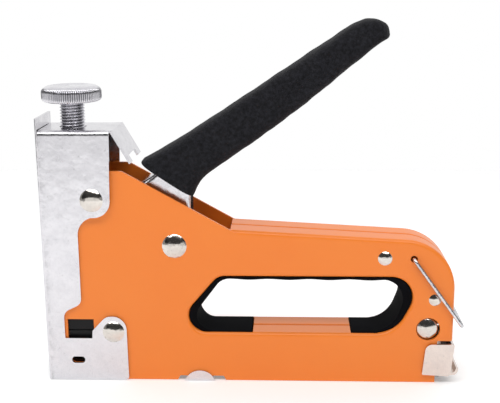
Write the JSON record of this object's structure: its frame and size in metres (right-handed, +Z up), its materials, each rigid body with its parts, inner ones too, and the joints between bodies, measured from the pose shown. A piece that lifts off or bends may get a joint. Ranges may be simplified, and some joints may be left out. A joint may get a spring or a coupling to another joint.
{
  "type": "staple gun",
  "caption": "Hand staple gun with a lever handle in a foam sleeve, power screw, pull-out magazine end and wire lock; closing the handle lifts the sprung driver in the nose.",
  "frame": {"origin": "middle of the nose foot's front edge, where the tool meets the work", "axes": "+X from the nose to the rear, +Y from the near shell to the far one, +Z up from the foot through the nose"},
  "size_m": [0.1801, 0.0294, 0.1547],
  "materials": {
    "orange_paint": "satin orange powder coat",
    "chrome": "bright chrome on pressed sheet",
    "chrome_screw": "bright chrome, knurled and threaded",
    "rivet": "polished nickel, domed",
    "wire": "bright plated wire",
    "steel": "plain steel, lightly oiled",
    "spring_steel": "dark spring steel",
    "rubber": "smooth black rubber",
    "foam": "black closed-cell foam, finely pitted",
    "black_plastic": "black moulded nylon"
  },
  "bodies": {
    "housing": {"left_shell": "orange_paint", "right_shell": "orange_paint", "nose_cover": "chrome", "top_bracket": "chrome", "screw_nut": "steel", "upper_nose_rivets": "rivet", "lower_nose_rivet": "rivet", "lever_pivot_pin": "rivet", "body_rivets": "rivet", "rivet_spacers": "steel", "latch_pin": "rivet", "grip_liner": "rubber", "magazine_channel": "steel", "staple_rail": "steel", "magazine_clip": "chrome", "striker_bumper": "black_plastic", "blade_guides": "steel", "handle_spring": "spring_steel"},
    "handle": {"lever": "chrome", "grip_sleeve": "foam", "hook_pin": "steel"},
    "claw": {"lift_hook": "steel"},
    "hammer": {"striker_block": "steel", "driver_blade": "steel", "striker_rivets": "steel"},
    "seat": {"spring_seat": "steel", "main_spring": "spring_steel"},
    "screw": {"power_screw": "chrome_screw"},
    "lock": {"wire_lock": "wire"},
    "magazine_slide": {"end_cap": "chrome", "guide_rod": "steel", "pusher_spring": "spring_steel"},
    "follower": {"staple_pusher": "steel"}
  },
  "joints": [
    {"name": "handle_hinge", "type": "hinge", "parent": "housing", "child": "handle", "pos_m": [0.0567, 0, 0.0608], "axis": [0, 1, 0], "range_deg": [0, 42], "stiffness_Nm_per_rad": 2, "springref_deg": -28.65},
    {"name": "hook_tilt", "type": "hinge", "parent": "handle", "child": "claw", "pos_m": [0.03803, 0, 0.05363], "axis": [0, -1, 0], "range_deg": [0, 12], "stiffness_Nm_per_rad": 0.02, "springref_deg": -17.19},
    {"name": "striker_slide", "type": "slide", "parent": "housing", "child": "hammer", "axis": [0, 0, 1], "range_m": [0, 0.0216], "deforming": ["main_spring"]},
    {"name": "seat_slide", "type": "slide", "parent": "housing", "child": "seat", "axis": [0, 0, 1], "range_m": [-0.00625, 0.00125]},
    {"name": "screw_turn", "type": "hinge", "parent": "seat", "child": "screw", "pos_m": [0.0136, 0, 0.0989], "axis": [0, 0, 1], "range_deg": [-1805, 365]},
    {"name": "wire_swing", "type": "hinge", "parent": "housing", "child": "lock", "pos_m": [0.158, 0, 0.0556], "axis": [0, -1, 0], "range_deg": [-4.5, 172]},
    {"name": "magazine_pull", "type": "slide", "parent": "housing", "child": "magazine_slide", "axis": [1, 0, 0], "range_m": [0, 0.12]},
    {"name": "follower_travel", "type": "slide", "parent": "magazine_slide", "child": "follower", "axis": [1, 0, 0], "range_m": [0, 0.1], "stiffness_N_per_m": 20, "springref_m": -0.05, "deforming": ["pusher_spring"]}
  ],
  "couplings": [
    {"joint": "striker_slide", "follows": "handle_hinge", "m_per_rad": 0.029333},
    {"joint": "screw_turn", "follows": "seat_slide", "rad_per_m": 5026.5}
  ]
}
